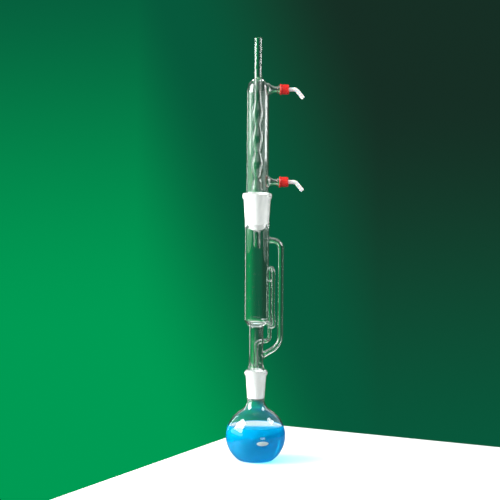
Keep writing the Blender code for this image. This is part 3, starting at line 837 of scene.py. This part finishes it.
def make_condenser():
    cone_top = ground_bore(SOCKET_RIM, UPPER_GROUND, SOCKET_RIM - MOUTH) - CLEAR
    cone_end = ground_bore(SOCKET_RIM, UPPER_GROUND, FUNNEL_TOP) - CLEAR
    body = lathe("condenser_glass", condenser_outside(cone_top, cone_end))
    cavity = water_space(cone_top, cone_end)
    for height in PORTS.values():
        ridge = raised(helix(THREAD_ROOT, THREAD_START, 0.0), height)
        join(body, port_outside(height), sweep("thread", ridge, thread_size(THREAD_SIZE), 12))
    join(cavity, *(port_inside(height) for height in PORTS.values()))
    bore = [(0, VENT_TOP + 1)] + bulb_side(TUBE_WALL, VENT_TOP + 1, DRIP_TIP - 1) + [(0, DRIP_TIP - 1)]
    cut(body, cavity, lathe("tube_bore", bore), tip_wedge())
    shade(body)
    set_materials(body, glass, frosted)
    neck = FUNNEL_TOP - 3
    taper = (neck, SOCKET_RIM + 0.8, cone_end, cone_top)
    frost(body, [taper, (FUNNEL_LOW + 0.5, neck, cone_end - 7.5, cone_end + 0.2)], 4.0)
    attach(body, "condenser")
    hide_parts("condenser_jacket", "condenser_bulb_tube", "condenser_cone", "upper_port", "lower_port")


# ---------------------------------------------------------------- caps, seals and nozzles
def make_cap(name, height):
    barrel = CAP_RIM - 1.25
    face = CAP_END - CAP_FACE
    low, high, fading = CAP_START + 3.6, CAP_END - 1.6, 0.8

    def rib(angle, r, x):
        if r < barrel - 0.3 or not low < x < high:
            return 0.0
        fade = min(1.0, (x - low) / fading, (high - x) / fading)
        return RIB_HEIGHT * fade * (max(0.0, math.cos(angle * RIBS)) ** 0.5 - 0.5)

    top = [(CAP_HOLE, face, 0), (CAP_HOLE, CAP_END, 0.3), (barrel - 1.2, CAP_END, 0.6)]
    skin = eased(top + [(barrel - 0.1, CAP_END - 1.1, 0.5), (barrel, high, 0)], 4)
    skin += [(barrel, high - fading * k / 3) for k in (1, 2, 3)]
    skin += [(barrel, low + fading * k / 3) for k in (3, 2, 1)]
    skin += eased([(barrel, low, 0), (barrel + 0.1, CAP_START + 3.1, 0.6), (CAP_RIM, CAP_START + 1.9, 0.6),
                   (CAP_RIM, CAP_START, 0.7), (CAP_BORE, CAP_START, 0.5), (CAP_BORE, face, 0.3)], 4)
    cap = lathe(name + "_cap_red", skin, closed=True, sides=RIBS * 8, bump=rib)
    lay_along_x(cap, height)
    ridge = raised(helix(CAP_THREAD, THREAD_START - 0.6, 0.26), height)
    join(cap, sweep("cap_thread", ridge, thread_size(CAP_THREAD_SIZE), 12))
    shade(cap, 40)
    set_materials(cap, red)
    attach(cap, name + "_cap")
    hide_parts(name + "_cap")


def make_seal(name, height):
    rounding = 0.35
    seam = (4.5, SEAL_START, 0)
    corners = [(SEAL, SEAL_START, rounding), (SEAL, SEAL_END, rounding)]
    corners += [(SEAL_HOLE, SEAL_END, rounding), (SEAL_HOLE, SEAL_START, rounding)]
    profile = eased([seam] + corners + [seam], 4)[:-1]
    washer = lathe(name + "_seal_ring", profile, closed=True, sides=PORT_SIDES)
    lay_along_x(washer, height)
    set_materials(washer, rubber)
    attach(washer, name + "_seal")
    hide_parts(name + "_seal")


def nozzle_size(distance, total):
    """The nozzle's radius: plain, then barbed, then narrowing over the last half millimetre."""
    left = total - distance
    tip = 0.5
    if left < tip:
        return NOZZLE - 0.55 + left * 0.5
    if left < tip + BARB_COUNT * BARB_LENGTH:
        step = (left - tip) % BARB_LENGTH
        return NOZZLE - 0.35 + 0.40 * step / BARB_LENGTH
    return NOZZLE - 0.1


def make_nozzle(name, height):
    slack = NOZZLE_BEND * math.tan(NOZZLE_ANGLE / 2)
    knee = Vector((NOZZLE_BEND_START + slack, 0, 0))
    end = knee + Vector((math.cos(NOZZLE_ANGLE), 0, -math.sin(NOZZLE_ANGLE))) * (NOZZLE_TAIL + slack)
    corners = [((NOZZLE_START, 0, 0), 0), (knee, NOZZLE_BEND), (end, 0)]
    path = raised(resampled(rounded_path(corners), 0.35), height)
    body = sweep(name + "_hose_nozzle", path, nozzle_size, 48)

    neck = NOZZLE_START + 2.6
    flange = [(0, NOZZLE_START, 0), (SEAL, NOZZLE_START, 0.3), (SEAL, NOZZLE_START + FLANGE, 0.3)]
    flange += [(4.2, NOZZLE_START + FLANGE + 0.1, 0.3), (NOZZLE - 0.2, neck, 0), (0, neck, 0)]
    join(body, lay_along_x(lathe("flange", eased(flange, 4), sides=PORT_SIDES), height))
    ahead = (path[-1] - path[-2]).normalized()
    bore = [path[0] - Vector((1, 0, 0))] + path[::4] + [path[-1] + ahead]
    cut(body, sweep("nozzle_bore", bore, NOZZLE_BORE, TUBE_SIDES))
    shade(body, 30)
    set_materials(body, white)
    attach(body, name + "_nozzle")
    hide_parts(name + "_hose_barb")


make_flask()
make_liquid()
make_label()
make_extractor()
make_condenser()
for port, port_height in PORTS.items():
    make_cap(port, port_height)
    make_seal(port, port_height)
    make_nozzle(port, port_height)


# ---------------------------------------------------------------- stage, light and camera
def make_floor():
    """A pale table whose far corner lies behind the flask. It is dark in what the glass mirrors."""
    corner = Vector((0.018, 0.35, 0))
    length = 1.5
    turns = math.radians(27), math.radians(-63)
    left, right = (Vector((-math.sin(turn), -math.cos(turn), 0)) * length for turn in turns)
    work = bmesh.new()
    outline = (corner, corner + left, corner + left + right, corner + right)
    work.faces.new([work.verts.new(spot) for spot in outline])
    floor = finished("floor", work)
    floor.location.z = -0.0003
    made, nodes, links, shader = new_material("pale_table")
    shader.inputs["Roughness"].default_value = 0.55
    mirrored = nodes.new("ShaderNodeLightPath").outputs["Is Reflection Ray"]
    pale, dark = (0.80, 0.80, 0.785), (0.12, 0.13, 0.13)
    links.new(ramp(nodes, links, mirrored, 0.0, 1.0, pale, dark), shader.inputs["Base Color"])
    set_materials(floor, made)


def world_light(nodes, links, colour, strength):
    """A background of one colour; strength is a number or a node's output."""
    made = nodes.new("ShaderNodeBackground")
    made.inputs["Color"].default_value = (*colour, 1)
    if isinstance(strength, (int, float)):
        made.inputs["Strength"].default_value = strength
    else:
        links.new(strength, made.inputs["Strength"])
    return made.outputs["Background"]


def either(nodes, links, factor, usual, special):
    """The usual light, or the special one where the factor is 1."""
    made = nodes.new("ShaderNodeMixShader")
    for socket, value in zip(made.inputs, (factor, usual, special)):
        links.new(value, socket)
    return made.outputs["Shader"]


def backdrop_colour(nodes, links, x, y, z):
    """Green that is brightest low on the left, on a panel behind the object; the rest of the room is dim."""
    def calc(operation, first, second=None):
        return math_node(nodes, links, operation, first, second)

    lift = calc("MULTIPLY", z, -3.4)
    held = calc("MAXIMUM", calc("MINIMUM", x, 0.045), -0.04)
    slant = calc("ADD", calc("ADD", lift, calc("MULTIPLY", held, -8.0)), 0.15)
    deep, middle, bright = (0.008, 0.028, 0.018), (0.002, 0.10, 0.045), (0.0, 0.33, 0.088)
    green = ramp(nodes, links, slant, 0.0, 1.0, deep, bright)
    green.node.color_ramp.elements.new(0.5).color = (*middle, 1)
    green.node.color_ramp.interpolation = "EASE"
    across = ease(nodes, links, calc("ABSOLUTE", x), 0.34, 0.16)
    up = calc("MULTIPLY", ease(nodes, links, y, 0.2, 0.4), ease(nodes, links, z, 0.35, 0.1))
    tint = nodes.new("ShaderNodeMix")
    tint.data_type = "RGBA"
    tint.inputs["A"].default_value = (0.06, 0.10, 0.078, 1)
    links.new(calc("MULTIPLY", across, up), tint.inputs["Factor"])
    links.new(green, tint.inputs["B"])
    return tint.outputs["Result"]


def make_world():
    """Four lights in one: a green backdrop for what is looked at, white from above added to what the glass
    bends, almost nothing but a strip behind for what shines, and even soft light for what is matt."""
    world = bpy.data.worlds.new("studio")
    bpy.context.scene.world = world
    world.use_nodes = True
    nodes, links = world.node_tree.nodes, world.node_tree.links
    place = nodes.new("ShaderNodeTexCoord")
    split = nodes.new("ShaderNodeSeparateXYZ")
    links.new(place.outputs["Generated"], split.inputs["Vector"])
    x, y, z = split.outputs
    path = nodes.new("ShaderNodeLightPath").outputs
    links.new(backdrop_colour(nodes, links, x, y, z), nodes["Background"].inputs["Color"])

    above = math_node(nodes, links, "MULTIPLY", ease(nodes, links, z, 0.12, 0.40), 0.4)
    from_above = math_node(nodes, links, "MULTIPLY", above, path["Is Transmission Ray"])
    bent = nodes.new("ShaderNodeAddShader")
    links.new(nodes["Background"].outputs["Background"], bent.inputs[0])
    links.new(world_light(nodes, links, (0.86, 1, 0.93), from_above), bent.inputs[1])
    high, behind = ease(nodes, links, z, 0.02, 0.08), ease(nodes, links, y, 0.93, 0.97)
    strip = math_node(nodes, links, "MULTIPLY", high, behind)
    shine = world_light(nodes, links, (1, 1, 1), math_node(nodes, links, "ADD", strip, 0.02))
    ambient = world_light(nodes, links, (0.97, 0.97, 0.96), 0.76)
    seen = either(nodes, links, path["Is Reflection Ray"], bent.outputs["Shader"], shine)
    light = either(nodes, links, path["Is Diffuse Ray"], seen, ambient)
    links.new(light, nodes["World Output"].inputs["Surface"])


def lamp_object(name, size_x, size_y, energy):
    data = bpy.data.lights.new(name, "AREA")
    data.shape = "RECTANGLE"
    data.size, data.size_y = size_x, size_y
    data.energy = energy
    lamp = bpy.data.objects.new(name, data)
    bpy.context.scene.collection.objects.link(lamp)
    lamp.visible_camera = False
    return lamp


def softbox(name, side, span_y, span_z, radiance, colour=(1, 1, 1)):
    """An upright softbox beside the glass, facing it. side is its X; the spans are its ends in Y and Z."""
    width, height = span_y[1] - span_y[0], span_z[1] - span_z[0]
    lamp = lamp_object(name, width, height, radiance * math.pi * width * height)
    lamp.data.color = colour
    lamp.location = (side, sum(span_y) / 2, sum(span_z) / 2)
    lamp.rotation_euler = (math.radians(90), 0, math.radians(-90 if side < 0 else 90))


def make_lights():
    softbox("left_high", -2.0, (-1.25, 0.45), (0.60, 2.7), 16.0)
    softbox("left_low", -2.0, (-1.6, 0.9), (0.17, 0.60), 2.3, (0.84, 1.0, 0.92))
    softbox("left_rim", -0.75, (0.86, 0.98), (0.02, 0.75), 5.0, (0.76, 1.0, 0.88))
    softbox("right", 0.6, (-0.06, 0.22), (0.48, 0.88), 8.0)
    lamp = lamp_object("overhead", 1.2, 1.2, 6)
    lamp.location = (-0.3, -0.9, 2.0)
    lamp.rotation_euler = (Vector((0, 0, 0.2)) - lamp.location).to_track_quat("-Z", "Y").to_euler()
    lamp.visible_glossy = lamp.visible_transmission = False


def make_camera():
    data = bpy.data.cameras.new("camera")
    camera = bpy.data.objects.new("camera", data)
    bpy.context.scene.collection.objects.link(camera)
    distance = 5.0
    field = 0.875
    elevation = math.radians(7.0)
    roll = math.radians(-0.39)
    target = Vector((-0.012, 0, 0.3733))
    data.sensor_width = 36.0
    data.lens = data.sensor_width * distance / field
    data.clip_start, data.clip_end = 0.05, 50
    back = Vector((0, -math.cos(elevation), math.sin(elevation)))
    camera.location = target + back * distance
    camera.rotation_mode = "QUATERNION"
    camera.rotation_quaternion = Quaternion(-back, roll) @ (-back).to_track_quat("-Z", "Y")
    bpy.context.scene.camera = camera


make_floor()
make_world()
make_lights()
make_camera()
bpy.context.scene.view_settings.view_transform = "Standard"
cycles = bpy.context.scene.cycles
cycles.use_denoising = True
cycles.max_bounces = cycles.transmission_bounces = 28
cycles.glossy_bounces = 12
cycles.transparent_max_bounces = 40
cycles.caustics_refractive = True
cycles.sample_clamp_indirect = 8.0
